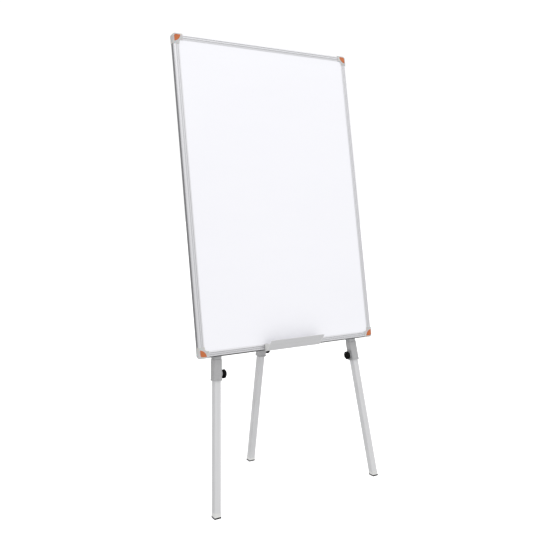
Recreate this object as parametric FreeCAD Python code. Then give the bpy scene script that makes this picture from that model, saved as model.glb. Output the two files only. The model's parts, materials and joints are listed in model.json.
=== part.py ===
import FreeCAD, Part
import math
import os

# A whiteboard (flipchart) easel on three telescopic legs. Millimetres and degrees, +Z up, +X to the
# right of a person facing the board, +Y away from that person. The origin lies on the floor, under
# the middle of the easel's bounding box.
#
# Board frame: x along the width from the middle, y the depth behind the board's front edge,
# z up the board from its lower edge. The board frame leans back by LEAN.
# Leg frame: z up the leg from the lower end of its clamp sleeve, y towards the back.

Vector = FreeCAD.Vector
X_AXIS = Vector(1, 0, 0)
Y_AXIS = Vector(0, 1, 0)
Z_AXIS = Vector(0, 0, 1)

# Board
BOARD_WIDTH = 600.0
BOARD_HEIGHT = 900.0
BOARD_BOTTOM = 426.0
LEAN = 11.5
RAIL_FACE = 18.0
RAIL_DEPTH = 16.0
RAIL_WALL = 1.4
RAIL_ROUND = 6.0
RAIL_CLIP = 1.3
RAIL_LIP_DROP = 0.9
RAIL_BACK_INSET = 1.0
RAIL_HEEL_ROUND = 1.5
GROOVES = ((6.9, 9.5), (12.3, 14.3))
GROOVE_DEPTH = 0.8
GROOVE_SLOPE = 0.5
PANEL_INSET = 5.0
PANEL_GAP = 0.2
SURFACE_FRONT = 1.6
SURFACE_THICKNESS = 0.5
CORE_THICKNESS = 7.3
BACKING_THICKNESS = 0.4
PANEL_BACK = SURFACE_FRONT + SURFACE_THICKNESS + CORE_THICKNESS + BACKING_THICKNESS

# Corner pieces and their coloured caps
CORNER_LEG = 30.0
CORNER_PROUD = 0.5
CORNER_OVERLAP = 0.4
CORNER_ROUND = 9.0
CORNER_INNER_ROUND = 8.0
CORNER_EDGE_ROUND = 3.4
CORNER_WALL = 2.4
TONGUE_LENGTH = 14.0
TONGUE_ROOT = 8.0
TONGUE_GAP = 0.1
TONGUE_TOP = RAIL_FACE - 2.5
CAP_BORDER = 4.0
CAP_LEG = 18.5
CAP_TIP = 2.0
CAP_BULGE = 3.4
CAP_ROUND = 6.0
CAP_EDGE_ROUND = 0.7
CAP_PROUD = 0.9
CAP_RECESS = 1.0
CAP_POCKET = 3.0

# Crossbar at the back, which carries the three legs
BAR_SIDE = 25.0
BAR_WALL = 1.2
BAR_ROUND = 2.0
BAR_MIDDLE = 344.0
BAR_HALF_LENGTH = 282.0
LID_THICKNESS = 2.5
LID_PLUG = 14.0
LID_PLUG_WALL = 2.0
PLUG_GAP = 0.05
BAR_FRONT = RAIL_DEPTH
BAR_BACK = BAR_FRONT + BAR_SIDE
STRAP_THICKNESS = 1.5
STRAP_X = 275.0
STRAP_HALF_WIDTH = 7.0
STRAP_BEND = 3.0
STRAP_EAR = 14.0
STRAP_EAR_END = 297.0
SHEET_EDGE_ROUND = 0.5
STRAP_SCREW_X = 291.0
STRAP_SCREW_STEP = BAR_SIDE / 2 + STRAP_THICKNESS + STRAP_EAR / 2

# Leg heads: fork mouldings that join the front legs to the crossbar, each with one bolt
HEAD_CHEEK = 3.0
HEAD_HALF_WIDTH = 14.0
HEAD_ABOVE = 13.0
HEAD_BASE = BAR_MIDDLE - BAR_SIDE / 2 - 20.0
HEAD_SKIRT = 6.0
HEAD_SOCKET_SIDE = 27.0
HEAD_SOCKET_LENGTH = 42.0
BOLT_RADIUS = 3.0
BOLT_HOLE_RADIUS = 3.05
BOLT_HEAD_RADIUS = 6.5
BOLT_HEAD_HEIGHT = 2.2
BOLT_HEAD_ROUND = 1.5
BOLT_END = 8.5
WASHER_RADIUS = 7.0
WASHER_THICKNESS = 1.2
NUT_FLATS = 10.0
NUT_THICKNESS = 5.0

# Screws, each as head radius, shank radius and shank length
CORNER_SCREW = (2.9, 1.45, 4.0)
FIXING_SCREW = (3.6, 1.9, 6.5)

# Legs: an outer tube, a clamp sleeve at its lower end, and an inner tube that slides in both
OUTER_SIDE = 22.0
OUTER_WALL = 1.0
OUTER_ROUND = 1.6
INNER_SIDE = 19.0
INNER_WALL = 1.0
INNER_ROUND = 1.4
SLEEVE_SIDE = 25.0
SLEEVE_ROUND = 4.0
SLEEVE_LENGTH = 58.5
SLEEVE_SHOULDER = 27.0
SLEEVE_TOP_ROUND = 1.2
SLEEVE_LIP = 0.9
SLEEVE_LIP_HEIGHT = 4.5
SLEEVE_LIP_ROUND = 0.8
SLIDING_GAP = 0.2
INNER_OVERLAP = 76.0
BUSH_HEAD = 12.0
BUSH_PLUG = 16.0
BUSH_BORE_SIDE = 11.5
BUSH_TOP = 3.0
FOOT_COLLAR = 13.0
FOOT_PROUD = 0.35
FOOT_PLUG = 22.0
FOOT_BORE_SIDE = 11.0
PAD_HEIGHT = 3.5
PAD_PROUD = 0.7
FRONT_LEG_DEPTH = 28.0
FRONT_LEG_SPREAD = 234.5
FRONT_LEG_SPLAY = 5.4
SLEEVE_DROP = 66.5
REAR_FOOT_Y = 232.0

# Clamp knob of each leg, at the height of its screw above the sleeve's lower end
KNOB_HEIGHT = 18.0
KNOB_RADIUS = 13.0
KNOB_LOBES = 8
KNOB_LOBE_RADIUS = 3.6
KNOB_DOME_RADIUS = 26.0
KNOB_BEVEL = 6.2
KNOB_NECK_RADIUS = 7.0
SCREW_RADIUS = 2.97
SCREW_TIP = INNER_SIDE / 2 + 0.3
SCREW_IN_KNOB = 4.0
SCREW_HOLE_RADIUS = 3.4
CLAMP_NUT_FLATS = 10.1
CLAMP_NUT_START = INNER_SIDE / 2 + 0.35
CLAMP_NUT_THICKNESS = 3.0
CLAMP_NUT_BORE = 3.03
NUT_POCKET_FLATS = 10.2
NUT_POCKET_DEPTH = 3.3
BOSS_RADIUS = 8.0
BOSS_REACH = 15.5
KNOB_NECK_START = 15.9
KNOB_HEAD_START = 18.4
KNOB_END = 28.5

# Hinge of the rear leg
PIN_DEPTH = 55.0
PIN_HEIGHT = 340.0
PIN_RADIUS = 3.95
KNUCKLE_BORE = 4.0
KNUCKLE_HALF_WIDTH = 11.0
KNUCKLE_EYE_RADIUS = 9.0
KNUCKLE_STEM = 15.0
KNUCKLE_PLUG = 24.0
HEEL_GAP = 0.3
HEEL_HEIGHT = 11.0
EAR_GAP = 11.4
EAR_NOSE = 9.0
EAR_NOSE_ROUND = 8.5
EAR_ROOT_ROUND = 6.0
PLATE_THICKNESS = 2.0
BRACKET_HALF_WIDTH = 29.0
BRACKET_CORNER = 4.0
BRACKET_SCREW_X = 21.5
RIVET_HEAD_RADIUS = 6.5
RIVET_HEAD_HEIGHT = 2.6
RIVET_HEAD_ROUND = 1.8

# Saddle clips that hold the front legs on the back of the bottom rail
SADDLE_MIDDLE = RAIL_FACE / 2
SADDLE_HALF_HEIGHT = 5.5
SADDLE_WALL = 2.0
SADDLE_GAP = 0.05
SADDLE_EAR = 25.0
SADDLE_SCREW = 18.6

# Pen tray, which hooks over the bottom rail and slides along it
TRAY_LENGTH = 186.0
TRAY_WALL = 1.6
TRAY_REACH = 38.0
TRAY_RISE = 27.0
TRAY_GAP = 0.35
TRAY_FLOOR = 5.0
TRAY_FLOOR_LIFT = 0.9
TRAY_BEND = 3.0
TRAY_HOOK_BACK = 11.0
TRAY_HOOK_TOP = RAIL_FACE - 1.5
TRAY_END_THICKNESS = 2.2
TRAY_END_TOP = 19.4

# Length below which an edge counts as flat or at a plane, when edges are picked for rounding
TINY = 0.01

# The easel's foremost and rearmost points before it is centred on the origin
FRONT_EDGE_Y = -68.5
REAR_EDGE_Y = 242.3
MIDDLE_Y = (FRONT_EDGE_Y + REAR_EDGE_Y) / 2

BOARD_PLACE = FreeCAD.Placement(
    Vector(0, -MIDDLE_Y, BOARD_BOTTOM), FreeCAD.Rotation(X_AXIS, -LEAN)
)


# ---------------------------------------------------------------- simple shapes


def block(x0, x1, y0, y1, z0, z1):
    return Part.makeBox(x1 - x0, y1 - y0, z1 - z0, Vector(x0, y0, z0))


def rod(radius, start, direction, length):
    return Part.makeCylinder(radius, length, start, direction)


def outline(corners, to_space):
    """A closed wire through corners (a, b, radius), each rounded by its radius; to_space maps (a, b)."""
    edges = []
    ends = []
    count = len(corners)
    for i in range(count):
        a, b, radius = corners[i]
        here = Vector(a, b, 0)
        before = Vector(corners[i - 1][0], corners[i - 1][1], 0) - here
        after = Vector(corners[(i + 1) % count][0], corners[(i + 1) % count][1], 0) - here
        before.normalize()
        after.normalize()
        if radius <= 0:
            ends.append((here, None, here))
            continue
        half = before.getAngle(after) / 2
        reach = radius / math.tan(half)
        middle = before + after
        middle.normalize()
        crest = here + middle * (radius / math.sin(half) - radius)
        ends.append((here + before * reach, crest, here + after * reach))
    for i in range(count):
        start, crest, stop = ends[i]
        if crest is not None:
            edges.append(Part.Arc(to_space(start), to_space(crest), to_space(stop)).toShape())
        following = ends[(i + 1) % count][0]
        if (following - stop).Length > 1e-6:
            edges.append(Part.LineSegment(to_space(stop), to_space(following)).toShape())
    return Part.Wire(edges)


def prism(corners, to_space, sweep):
    return Part.Face(outline(corners, to_space)).extrude(sweep)


def square_corners(side, radius):
    half = side / 2
    return [(-half, -half, radius), (half, -half, radius), (half, half, radius), (-half, half, radius)]


def square_bar(side, radius, z0, z1):
    return prism(square_corners(side, radius), lambda p: Vector(p.x, p.y, z0), Vector(0, 0, z1 - z0))


def square_tube(side, wall, radius, z0, z1):
    bore = square_bar(side - 2 * wall, radius - wall, z0 - 1, z1 + 1)
    return square_bar(side, radius, z0, z1).cut(bore)


def hex_bar(across_flats, start, direction, length):
    bar = Part.Face(
        Part.makePolygon([
            Vector(math.cos(math.radians(60 * i)), math.sin(math.radians(60 * i)), 0)
            * (across_flats / math.sqrt(3))
            for i in range(7)
        ])
    ).extrude(Vector(0, 0, length))
    bar.Placement = FreeCAD.Placement(start, FreeCAD.Rotation(Z_AXIS, direction))
    return bar


def join(shapes):
    whole = shapes[0]
    for shape in shapes[1:]:
        whole = whole.fuse(shape)
    return whole.removeSplitter()


def cut_all(shape, tools):
    for tool in tools:
        shape = shape.cut(tool)
    return shape


def moved(shape, place):
    copy = shape.copy()
    copy.Placement = place.multiply(copy.Placement)
    return copy


def board_point(x, y, z):
    return BOARD_PLACE.multVec(Vector(x, y, z))


# ---------------------------------------------------------------- board and frame


def rail(length):
    """A frame extrusion along X, its outer edge at z = 0 and its front at y = 0, inner side up."""

    def at(p):
        return Vector(-length / 2, p.y, p.x)

    sweep = Vector(length, 0, 0)
    wall = RAIL_WALL
    clip = PANEL_BACK + PANEL_GAP
    inner = RAIL_FACE - RAIL_BACK_INSET
    section = [(0, 0, RAIL_ROUND)]
    for start, stop in GROOVES:
        section += [
            (start, 0, 0), (start + GROOVE_SLOPE, GROOVE_DEPTH, 0),
            (stop - GROOVE_SLOPE, GROOVE_DEPTH, 0), (stop, 0, 0),
        ]
    section += [
        (RAIL_FACE, RAIL_LIP_DROP, 0), (RAIL_FACE, wall, 0),
        (wall, wall, RAIL_ROUND - wall), (wall, clip, 0), (inner, clip, 0),
        (inner, RAIL_DEPTH, SHEET_EDGE_ROUND), (0, RAIL_DEPTH, RAIL_HEEL_ROUND),
    ]
    chamber = [
        (wall, clip + RAIL_CLIP, 0), (inner - RAIL_CLIP, clip + RAIL_CLIP, 0),
        (inner - RAIL_CLIP, RAIL_DEPTH - RAIL_CLIP, 0), (wall, RAIL_DEPTH - RAIL_CLIP, 0),
    ]
    return prism(section, at, sweep).cut(prism(chamber, at, sweep))


def corner_outline():
    """The L of a corner piece in the board's plane, with the frame's outer corner at the origin."""
    inner = RAIL_FACE + CORNER_OVERLAP
    leg = CORNER_LEG
    low = -CORNER_PROUD
    return [
        (low, low, CORNER_ROUND), (leg, low, 0), (leg, inner, 0),
        (inner, inner, CORNER_INNER_ROUND), (inner, leg, 0), (low, leg, 0),
    ]


def corner_piece():
    """A moulded corner: its outer corner at x = z = 0, its legs along +X and +Z, its front at y = 0."""
    front = -CORNER_PROUD

    def at(p):
        return Vector(p.x, front, p.y)

    depth = RAIL_DEPTH + 2 * CORNER_PROUD
    body = prism(corner_outline(), at, Vector(0, depth, 0))
    body = body.makeFillet(CORNER_EDGE_ROUND, [e for e in body.Edges if on_outer_rim(e, front)])
    wall = CORNER_WALL
    end = CORNER_LEG + 1
    clip = PANEL_BACK + PANEL_GAP
    tongue_front = clip + RAIL_CLIP + TONGUE_GAP
    tongue_back = RAIL_DEPTH - RAIL_CLIP - TONGUE_GAP
    slot = block(wall, end, RAIL_WALL, clip, wall, end)
    chamber = block(wall, end, tongue_front, tongue_back + 2 * TONGUE_GAP, wall, end)
    pocket = cap_solid(RAIL_WALL - CAP_RECESS, CAP_POCKET)
    tongue = block(
        CORNER_LEG - TONGUE_ROOT, CORNER_LEG + TONGUE_LENGTH, tongue_front, tongue_back,
        RAIL_WALL + TONGUE_GAP, TONGUE_TOP
    )
    upright = turned_to_upright(tongue)
    return join([cut_all(body, [slot, chamber]), tongue, upright]).cut(pocket)


def on_outer_rim(edge, front):
    """True for an edge in the plane y = front that lies on the corner's outer sides or rounding."""
    middle = edge.valueAt((edge.FirstParameter + edge.LastParameter) / 2)
    return flat_at(edge, front) and min(middle.x, middle.z) < CORNER_ROUND / 3


def flat_at(edge, y):
    """True for an edge that lies in the plane at that y."""
    return abs(edge.BoundBox.YMin - y) < 1e-6 and abs(edge.BoundBox.YMax - y) < 1e-6


def turned_to_upright(shape):
    """The mirror image across the corner's diagonal, which swaps x and z."""
    return shape.mirror(Vector(0, 0, 0), Vector(1, 0, -1))


def cap_solid(back, thickness):
    """The coloured cap's outline, a right triangle with a bulging long side, from y = back forwards."""
    low = CAP_BORDER
    high = CAP_BORDER + CAP_LEG
    middle = (low + high) / 2 + CAP_BULGE
    outer = CAP_ROUND
    tip = low + CAP_TIP
    bend = outer * (1 - math.sqrt(0.5))

    def at(x, z):
        return Vector(x, back, z)

    edges = [
        Part.Arc(at(low, low + outer), at(low + bend, low + bend), at(low + outer, low)).toShape(),
        Part.LineSegment(at(low + outer, low), at(high, low)).toShape(),
        Part.LineSegment(at(high, low), at(high, tip)).toShape(),
        Part.Arc(at(high, tip), at(middle, middle), at(tip, high)).toShape(),
        Part.LineSegment(at(tip, high), at(low, high)).toShape(),
        Part.LineSegment(at(low, high), at(low, low + outer)).toShape(),
    ]
    return Part.Face(Part.Wire(edges)).extrude(Vector(0, -thickness, 0))


def corner_cap():
    back = RAIL_WALL - CAP_RECESS
    thickness = back + CORNER_PROUD + CAP_PROUD
    cap = cap_solid(back, thickness)
    front = back - thickness
    return cap.makeFillet(CAP_EDGE_ROUND, [e for e in cap.Edges if flat_at(e, front)])


def corner_places():
    """Placements, in the board frame, that take a corner made at the origin to each board corner."""
    half = BOARD_WIDTH / 2
    return {
        "bottom_left": FreeCAD.Placement(Vector(-half, 0, 0), FreeCAD.Rotation(Y_AXIS, 0)),
        "top_left": FreeCAD.Placement(Vector(-half, 0, BOARD_HEIGHT), FreeCAD.Rotation(Y_AXIS, 90)),
        "top_right": FreeCAD.Placement(Vector(half, 0, BOARD_HEIGHT), FreeCAD.Rotation(Y_AXIS, 180)),
        "bottom_right": FreeCAD.Placement(Vector(half, 0, 0), FreeCAD.Rotation(Y_AXIS, -90)),
    }


def pan_screw(head_radius, shank_radius, length, x, y, z):
    """A pan-head screw driven forwards (-Y) from the plane y, with a cross recess in its head."""
    height = 0.62 * head_radius
    edge_round = 0.30 * head_radius
    arm = 0.62 * head_radius
    slot = 0.16 * head_radius
    deep = y + 0.30 * head_radius
    head = rod(head_radius, Vector(x, y, z), Y_AXIS, height)
    head = head.makeFillet(edge_round, [e for e in head.Edges if flat_at(e, y + height)])
    cross = [
        block(x - arm, x + arm, deep, y + head_radius, z - slot, z + slot),
        block(x - slot, x + slot, deep, y + head_radius, z - arm, z + arm),
    ]
    shank = rod(shank_radius, Vector(x, y, z), -Y_AXIS, length)
    return join([cut_all(head, cross), shank])


def board_nodes():
    half = BOARD_WIDTH / 2
    inset = PANEL_INSET
    front = SURFACE_FRONT
    core = front + SURFACE_THICKNESS
    backing = core + CORE_THICKNESS

    def layer(y0, y1):
        return block(-half + inset, half - inset, y0, y1, inset, BOARD_HEIGHT - inset)

    nodes = {
        "writing_surface": layer(front, core),
        "board_core": layer(core, backing),
        "back_sheet": layer(backing, PANEL_BACK),
    }
    across = rail(BOARD_WIDTH - 2 * CORNER_LEG)
    upright = rail(BOARD_HEIGHT - 2 * CORNER_LEG)
    centre = BOARD_HEIGHT / 2
    nodes["frame_bottom"] = across
    nodes["frame_top"] = moved(
        across, FreeCAD.Placement(Vector(0, 0, BOARD_HEIGHT), FreeCAD.Rotation(Y_AXIS, 180))
    )
    nodes["frame_left"] = moved(
        upright, FreeCAD.Placement(Vector(-half, 0, centre), FreeCAD.Rotation(Y_AXIS, 90))
    )
    nodes["frame_right"] = moved(
        upright, FreeCAD.Placement(Vector(half, 0, centre), FreeCAD.Rotation(Y_AXIS, -90))
    )
    piece = corner_piece()
    cap = corner_cap()
    station = CORNER_LEG + TONGUE_LENGTH / 2
    screws = []
    for name, place in corner_places().items():
        nodes["corner_" + name] = moved(piece, place)
        nodes["corner_cap_" + name] = moved(cap, place)
        for x, z in ((station, RAIL_FACE / 2), (RAIL_FACE / 2, station)):
            screws.append(moved(pan_screw(*CORNER_SCREW, x, RAIL_DEPTH, z), place))
    nodes["corner_screws"] = Part.makeCompound(screws)
    corners = ["corner_" + name for name in corner_places()]
    drill(nodes, ["frame_bottom", "frame_top", "frame_left", "frame_right"] + corners, screws)
    return nodes


def drill(nodes, names, screws):
    """Cuts each screw's own hole in the named nodes that it goes through."""
    for name in names:
        near = [s for s in screws if s.BoundBox.intersect(nodes[name].BoundBox)]
        nodes[name] = cut_all(nodes[name], near)


# ---------------------------------------------------------------- crossbar and brackets


def bar_frame_rod(side, radius, x0, x1):
    """A square bar along X on the crossbar's centre line."""
    middle_y = BAR_FRONT + BAR_SIDE / 2

    def at(p):
        return Vector(x0, middle_y + p.x, BAR_MIDDLE + p.y)

    return prism(square_corners(side, radius), at, Vector(x1 - x0, 0, 0))


def crossbar():
    half = BAR_HALF_LENGTH
    bore = bar_frame_rod(BAR_SIDE - 2 * BAR_WALL, BAR_ROUND - BAR_WALL, -half - 1, half + 1)
    return bar_frame_rod(BAR_SIDE, BAR_ROUND, -half, half).cut(bore)


def crossbar_cap(side):
    end = BAR_HALF_LENGTH
    corner = BAR_ROUND - BAR_WALL
    lid = bar_frame_rod(BAR_SIDE, BAR_ROUND, end, end + LID_THICKNESS)
    rim = [e for e in lid.Edges if e.BoundBox.XMin > end + LID_THICKNESS - TINY]
    plug_side = BAR_SIDE - 2 * BAR_WALL - 2 * PLUG_GAP
    plug = bar_frame_rod(plug_side, corner, end - LID_PLUG, end)
    hollow = bar_frame_rod(plug_side - 2 * LID_PLUG_WALL, corner, end - LID_PLUG - 1, end)
    cap = join([lid.makeFillet(LID_THICKNESS / 2, rim), plug]).cut(hollow)
    return cap if side > 0 else cap.mirror(Vector(0, 0, 0), X_AXIS)


def crossbar_strap(side):
    """A bent strap over the crossbar's end, with an ear above and below that reaches the side rail."""
    t = STRAP_THICKNESS
    half = BAR_SIDE / 2
    x0 = STRAP_X - STRAP_HALF_WIDTH

    def at(p):
        return Vector(x0, p.y, BAR_MIDDLE + p.x)

    profile = [
        (-half - t - STRAP_EAR, BAR_FRONT, SHEET_EDGE_ROUND), (-half, BAR_FRONT, 0),
        (-half, BAR_BACK, 0), (half, BAR_BACK, 0),
        (half, BAR_FRONT, 0), (half + t + STRAP_EAR, BAR_FRONT, SHEET_EDGE_ROUND),
        (half + t + STRAP_EAR, BAR_FRONT + t, SHEET_EDGE_ROUND), (half + t, BAR_FRONT + t, 0),
        (half + t, BAR_BACK + t, STRAP_BEND), (-half - t, BAR_BACK + t, STRAP_BEND),
        (-half - t, BAR_FRONT + t, 0), (-half - t - STRAP_EAR, BAR_FRONT + t, SHEET_EDGE_ROUND),
    ]
    strap = prism(profile, at, Vector(2 * STRAP_HALF_WIDTH, 0, 0))
    pieces = [strap]
    for low in (BAR_MIDDLE - half - t - STRAP_EAR, BAR_MIDDLE + half + t):
        ear = block(x0 + 1, STRAP_EAR_END, BAR_FRONT, BAR_FRONT + t, low, low + STRAP_EAR)
        ends = [e for e in ear.Edges if e.BoundBox.XMin > STRAP_EAR_END - TINY]
        pieces.append(ear.makeFillet(STRAP_BEND, [e for e in ends if e.BoundBox.ZLength < TINY]))
    strap = join(pieces).cut(bar_frame_rod(BAR_SIDE, BAR_ROUND, -BOARD_WIDTH, BOARD_WIDTH))
    return strap if side > 0 else strap.mirror(Vector(0, 0, 0), X_AXIS)


def front_leg_place(side):
    """The leg frame of a front leg in the board frame; its knob faces the middle of the easel."""
    slope = math.tan(math.radians(FRONT_LEG_SPLAY))
    foot_x = side * (FRONT_LEG_SPREAD + slope * SLEEVE_DROP)
    lean_in = FreeCAD.Rotation(Y_AXIS, -side * FRONT_LEG_SPLAY)
    knob_turn = FreeCAD.Rotation(Z_AXIS, 180 if side > 0 else 0)
    return FreeCAD.Placement(
        Vector(foot_x, FRONT_LEG_DEPTH, -SLEEVE_DROP), lean_in.multiply(knob_turn)
    )


def front_leg_x(side, height):
    slope = math.tan(math.radians(FRONT_LEG_SPLAY))
    return side * (FRONT_LEG_SPREAD - slope * height)


FRONT_TUBE_TOP = (HEAD_BASE + HEAD_SKIRT + SLEEVE_DROP) / math.cos(math.radians(FRONT_LEG_SPLAY))


def leg_head(side):
    """The moulding that grips the top of a front leg's outer tube and forks over the crossbar."""
    x = front_leg_x(side, BAR_MIDDLE)
    front = BAR_FRONT - HEAD_CHEEK
    back = BAR_BACK + HEAD_CHEEK
    low = HEAD_BASE - HEAD_SKIRT
    top = BAR_MIDDLE + HEAD_ABOVE
    back_round = 4.0
    front_round = 1.0
    corners = [
        (front, low, front_round), (back, low, back_round),
        (back, top, back_round), (front, top, front_round),
    ]
    width = 2 * HEAD_HALF_WIDTH
    fork = prism(corners, lambda p: Vector(x - HEAD_HALF_WIDTH, p.x, p.y), Vector(width, 0, 0))
    bar_room = block(x - width, x + width, BAR_FRONT, BAR_BACK, BAR_MIDDLE - BAR_SIDE / 2, top + 1)
    place = front_leg_place(side)
    socket_base = FRONT_TUBE_TOP - HEAD_SOCKET_LENGTH
    socket = moved(square_bar(HEAD_SOCKET_SIDE, SLEEVE_ROUND, socket_base, FRONT_TUBE_TOP), place)
    bore = moved(square_bar(OUTER_SIDE, OUTER_ROUND, socket_base - HEAD_SKIRT, FRONT_TUBE_TOP), place)
    return cut_all(join([fork, socket]), [bar_room, bore, bolt_hole(x)])


def bolt_hole(x):
    """The hole for a leg head's bolt, right through the fork and the crossbar."""
    return rod(BOLT_HOLE_RADIUS, Vector(x, 0, BAR_MIDDLE), Y_AXIS, BAR_BACK + 2 * HEAD_CHEEK)


def leg_bolt(side):
    """A flat-domed bolt through the fork and the crossbar, with its washer and nut at the back."""
    x = front_leg_x(side, BAR_MIDDLE)
    front = BAR_FRONT - HEAD_CHEEK
    back = BAR_BACK + HEAD_CHEEK
    face = front - BOLT_HEAD_HEIGHT
    head = rod(BOLT_HEAD_RADIUS, Vector(x, face, BAR_MIDDLE), Y_AXIS, BOLT_HEAD_HEIGHT)
    dome = [e for e in head.Edges if flat_at(e, face)]
    shank = rod(BOLT_RADIUS, Vector(x, front, BAR_MIDDLE), Y_AXIS, back - front + BOLT_END)
    bolt = join([head.makeFillet(BOLT_HEAD_ROUND, dome), shank])
    hole = rod(BOLT_RADIUS, Vector(x, back, BAR_MIDDLE), Y_AXIS, BOLT_END)
    washer = rod(WASHER_RADIUS, Vector(x, back, BAR_MIDDLE), Y_AXIS, WASHER_THICKNESS).cut(hole)
    nut = hex_bar(NUT_FLATS, Vector(x, back + WASHER_THICKNESS, BAR_MIDDLE), Y_AXIS, NUT_THICKNESS)
    return [bolt, washer, nut.cut(hole)]


def leg_saddle(side):
    """The saddle clip that holds a front leg's outer tube against the back of the bottom rail."""
    half = OUTER_SIDE / 2 + SADDLE_GAP
    back = FRONT_LEG_DEPTH + half
    wall = SADDLE_WALL
    edge = SHEET_EDGE_ROUND
    bend = OUTER_ROUND
    profile = [
        (-SADDLE_EAR, RAIL_DEPTH, edge), (-half, RAIL_DEPTH, 0),
        (-half, back, bend), (half, back, bend),
        (half, RAIL_DEPTH, 0), (SADDLE_EAR, RAIL_DEPTH, edge),
        (SADDLE_EAR, RAIL_DEPTH + wall, edge), (half + wall, RAIL_DEPTH + wall, edge),
        (half + wall, back + wall, bend + wall), (-half - wall, back + wall, bend + wall),
        (-half - wall, RAIL_DEPTH + wall, edge), (-SADDLE_EAR, RAIL_DEPTH + wall, edge),
    ]
    low = -SADDLE_HALF_HEIGHT
    clip = prism(profile, lambda p: Vector(p.x, p.y, low), Vector(0, 0, -2 * low))
    return moved(clip, saddle_place(side))


def saddle_place(side):
    return FreeCAD.Placement(
        Vector(front_leg_x(side, SADDLE_MIDDLE), 0, SADDLE_MIDDLE),
        FreeCAD.Rotation(Y_AXIS, -side * FRONT_LEG_SPLAY),
    )


def hinge_bracket():
    """The U-shaped steel bracket on the middle of the crossbar that carries the rear leg's pin."""
    t = PLATE_THICKNESS
    low = BAR_MIDDLE - BAR_SIDE / 2 + SHEET_EDGE_ROUND
    high = BAR_MIDDLE + BAR_SIDE / 2 - SHEET_EDGE_ROUND
    w = BRACKET_HALF_WIDTH
    r = BRACKET_CORNER
    base = prism(
        [(-w, low, r), (w, low, r), (w, high, r), (-w, high, r)],
        lambda p: Vector(p.x, BAR_BACK, p.y), Vector(0, t, 0)
    )
    nose = PIN_DEPTH + EAR_NOSE
    ear_low = PIN_HEIGHT - EAR_NOSE - 1
    ear_profile = [
        (BAR_BACK, ear_low, 0), (nose, ear_low, EAR_NOSE_ROUND),
        (nose, PIN_HEIGHT + EAR_NOSE, EAR_NOSE_ROUND),
        (BAR_BACK + EAR_ROOT_ROUND, high, EAR_ROOT_ROUND), (BAR_BACK, high, 0),
    ]
    ears = []
    for side in (-1, 1):
        inner = side * EAR_GAP
        start = min(inner, inner + side * t)
        ears.append(prism(ear_profile, lambda p: Vector(start, p.x, p.y), Vector(t, 0, 0)))
    hole = rod(PIN_RADIUS, Vector(-w, PIN_DEPTH, PIN_HEIGHT), X_AXIS, 2 * w)
    return join([base] + ears).cut(hole)


def hinge_rivet():
    """The pin that the rear leg turns on, with a domed head at each end."""
    outer = EAR_GAP + PLATE_THICKNESS
    pin = rod(PIN_RADIUS, Vector(-outer, PIN_DEPTH, PIN_HEIGHT), X_AXIS, 2 * outer)
    heads = []
    for side in (-1, 1):
        centre = Vector(side * outer, PIN_DEPTH, PIN_HEIGHT)
        head = rod(RIVET_HEAD_RADIUS, centre, X_AXIS * side, RIVET_HEAD_HEIGHT)
        end = outer + RIVET_HEAD_HEIGHT - TINY
        rim = [e for e in head.Edges if min(abs(e.BoundBox.XMin), abs(e.BoundBox.XMax)) > end]
        heads.append(head.makeFillet(RIVET_HEAD_ROUND, rim))
    return join([pin] + heads)


def fixing_screws():
    """The identical screws of the crossbar's straps, the leg saddles and the hinge bracket."""

    def screw(x, y, z):
        return pan_screw(*FIXING_SCREW, x, y, z)

    screws = []
    strap_back = RAIL_DEPTH + STRAP_THICKNESS
    for side in (-1, 1):
        for end in (-1, 1):
            screws.append(screw(side * STRAP_SCREW_X, strap_back, BAR_MIDDLE + end * STRAP_SCREW_STEP))
            in_ear = screw(end * SADDLE_SCREW, RAIL_DEPTH + SADDLE_WALL, 0)
            screws.append(moved(in_ear, saddle_place(side)))
        screws.append(screw(side * BRACKET_SCREW_X, BAR_BACK + PLATE_THICKNESS, BAR_MIDDLE))
    return screws


# ---------------------------------------------------------------- legs


def distance_to_floor(place):
    """How far the floor is from a leg frame's origin, measured down the leg's axis."""
    origin = place.Base
    up = place.Rotation.multVec(Z_AXIS)
    return origin.z / up.z


def rear_leg_place(reach):
    """The leg frame of the rear leg in space, with its foot's middle on the floor reach below it."""
    pin = board_point(0, PIN_DEPTH, PIN_HEIGHT)
    foot = Vector(0, REAR_FOOT_Y - MIDDLE_Y, 0)
    up = pin - foot
    up.normalize()
    tilt = math.degrees(math.atan2(-up.y, up.z))
    return FreeCAD.Placement(foot + up * reach, FreeCAD.Rotation(X_AXIS, tilt))


def outer_tube(top):
    return square_tube(OUTER_SIDE, OUTER_WALL, OUTER_ROUND, SLEEVE_SHOULDER, top)


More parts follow.
